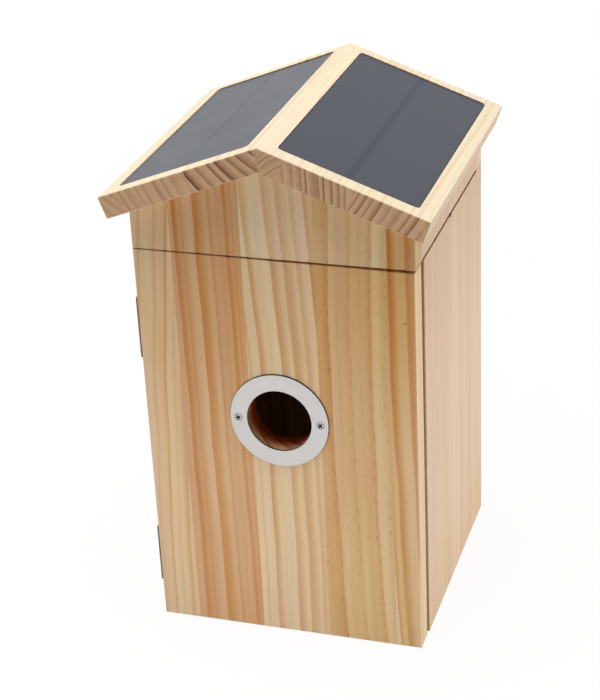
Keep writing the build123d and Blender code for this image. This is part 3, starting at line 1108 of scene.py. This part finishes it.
class NESTBOX_OT_hinge_screws(bpy.types.Operator):
    """Model the screws of the hinge leaves"""

    bl_idname = "nestbox.hinge_screws"
    bl_label = "Hinge screws"

    def execute(self, context):
        screws = context.scene.nest_box_screws
        wall_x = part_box("left_wall")[0].x
        places = []
        for hinge in ("upper", "lower"):
            for leaf, body, knuckle_side in (("wall_leaf", "box", -1), ("door_leaf", "door", 1)):
                node = f"{hinge}_hinge_{leaf}"
                corners = [vertex.co for vertex in frame["nodes"][node].data.vertices]
                flat = [corner for corner in corners if corner.x > wall_x - LEAF_REACH]
                depths = [corner.y for corner in flat]
                low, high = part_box(node)
                face_x = min(corner.x for corner in flat)
                middle = (min(depths) + max(depths)) / 2 - knuckle_side * KNUCKLE_ROOM
                for end, share in (("low", screws.hinge_low), ("high", screws.hinge_high)):
                    point = (face_x, middle, low.z + (high.z - low.z) * share)
                    turn = FIRST_TURN + len(places) * TURN_STEP
                    places.append((f"{node}_screw_{end}", point, (-1, 0, 0), turn, body))
        place_screws("hinge_screw", screws.hinge_head, screws.hinge_dome, places)
        return {"FINISHED"}


class NESTBOX_OT_stage(bpy.types.Operator):
    """Set the camera, the soft lamps, the white surroundings and the floor"""

    bl_idname = "nestbox.stage"
    bl_label = "Stage"

    def execute(self, context):
        stage = context.scene.nest_box_stage
        context.scene.view_settings.view_transform = "Standard"
        self.set_camera(context, stage)
        for name, lamp in LAMPS.items():
            self.add_lamp(context, f"{name}_lamp", lamp, getattr(stage, f"{name}_power"))
        self.set_world(context, stage)
        self.add_floor(stage)
        return {"FINISHED"}

    def set_camera(self, context, stage):
        camera = bpy.data.objects.new("camera", bpy.data.cameras.new("camera"))
        context.scene.collection.objects.link(camera)
        camera.data.lens = stage.lens
        turn = Matrix.Rotation(stage.azimuth, 4, "Z")
        tilt = Matrix.Rotation(math.pi / 2 - stage.elevation, 4, "X")
        roll = Matrix.Rotation(stage.roll, 4, "Z")
        camera.matrix_world = Matrix.Translation(stage.camera) @ turn @ tilt @ roll
        context.scene.camera = camera

    def add_lamp(self, context, name, lamp, power):
        made = bpy.data.objects.new(name, bpy.data.lights.new(name, "AREA"))
        context.scene.collection.objects.link(made)
        made.data.shape = "RECTANGLE"
        made.data.size = lamp.width
        made.data.size_y = lamp.height
        made.data.energy = power
        made.location = lamp.place
        made.visible_camera = False
        made.visible_glossy = lamp.mirrored
        made.rotation_euler = (Vector(lamp.aim) - Vector(lamp.place)).to_track_quat("-Z", "Y").to_euler()

    def set_world(self, context, stage):
        world = bpy.data.worlds.new("studio")
        context.scene.world = world
        paint = Paint(world)
        light, white = (
            paint.node("ShaderNodeBackground", inputs={"Color": WHITE, "Strength": strength})
            for strength in (stage.ambient, 1.0)
        )
        paint.end(paint.mix_shader(paint.seen_directly(), light, white))

    def add_floor(self, stage):
        """A floor that looks white but for the object's shadow, and gives back some light."""
        deselect()
        bpy.ops.mesh.primitive_plane_add(size=stage.floor_size, location=(0, 0, 0))
        floor = bpy.context.object
        floor.name = "floor"
        paint = new_material("floor")
        plain, shaded = (
            paint.node("ShaderNodeBsdfDiffuse", inputs={"Color": (light, light, light, 1.0)})
            for light in (stage.floor_light, stage.floor_shadow)
        )
        glow, far = (
            paint.node("ShaderNodeEmission", inputs={"Color": WHITE, "Strength": strength})
            for strength in (1.0 - stage.floor_shadow, 1.0)
        )
        near = paint.node("ShaderNodeAddShader", inputs={0: shaded, 1: glow})
        share = paint.length(paint.place()).fade(0.0, stage.shadow_reach)
        white = paint.mix_shader(share, near, far)
        paint.end(paint.mix_shader(paint.seen_directly(), plain, white))
        floor.data.materials.append(paint.owner)


class NESTBOX_PT_sidebar(bpy.types.Panel):
    """Lists the nest box's settings and the operators that dress it"""

    bl_idname = "NESTBOX_PT_sidebar"
    bl_label = "Camera Nest Box"
    bl_space_type = "VIEW_3D"
    bl_region_type = "UI"
    bl_category = "Nest Box"

    def draw(self, context):
        for group in GROUPS:
            settings = getattr(context.scene, group)
            box = self.layout.box()
            for name in settings.__annotations__:
                box.prop(settings, name)
        for operator in OPERATORS:
            self.layout.operator(operator.bl_idname)


GROUPS = {
    "nest_box_wood": NestBoxWood,
    "nest_box_panels": NestBoxPanels,
    "nest_box_camera": NestBoxCamera,
    "nest_box_steel": NestBoxSteel,
    "nest_box_screws": NestBoxScrews,
    "nest_box_stage": NestBoxStage,
}
OPERATORS = (
    NESTBOX_OT_front_boards,
    NESTBOX_OT_body_boards,
    NESTBOX_OT_roof_boards,
    NESTBOX_OT_solar_panels,
    NESTBOX_OT_camera_unit,
    NESTBOX_OT_entrance_plate,
    NESTBOX_OT_hinges,
    NESTBOX_OT_plate_screws,
    NESTBOX_OT_hinge_screws,
    NESTBOX_OT_stage,
)
CLASSES = (*GROUPS.values(), *OPERATORS, NESTBOX_PT_sidebar)


def register():
    for one in CLASSES:
        bpy.utils.register_class(one)
    for name, group in GROUPS.items():
        setattr(bpy.types.Scene, name, PointerProperty(type=group))


def unregister():
    for name in GROUPS:
        delattr(bpy.types.Scene, name)
    for one in reversed(CLASSES):
        bpy.utils.unregister_class(one)


def main():
    register()
    bpy.ops.nestbox.front_boards()
    bpy.ops.nestbox.body_boards()
    bpy.ops.nestbox.roof_boards()
    bpy.ops.nestbox.solar_panels()
    bpy.ops.nestbox.camera_unit()
    bpy.ops.nestbox.entrance_plate()
    bpy.ops.nestbox.hinges()
    bpy.ops.nestbox.plate_screws()
    bpy.ops.nestbox.hinge_screws()
    bpy.ops.nestbox.stage()


if __name__ == "__main__":
    main()
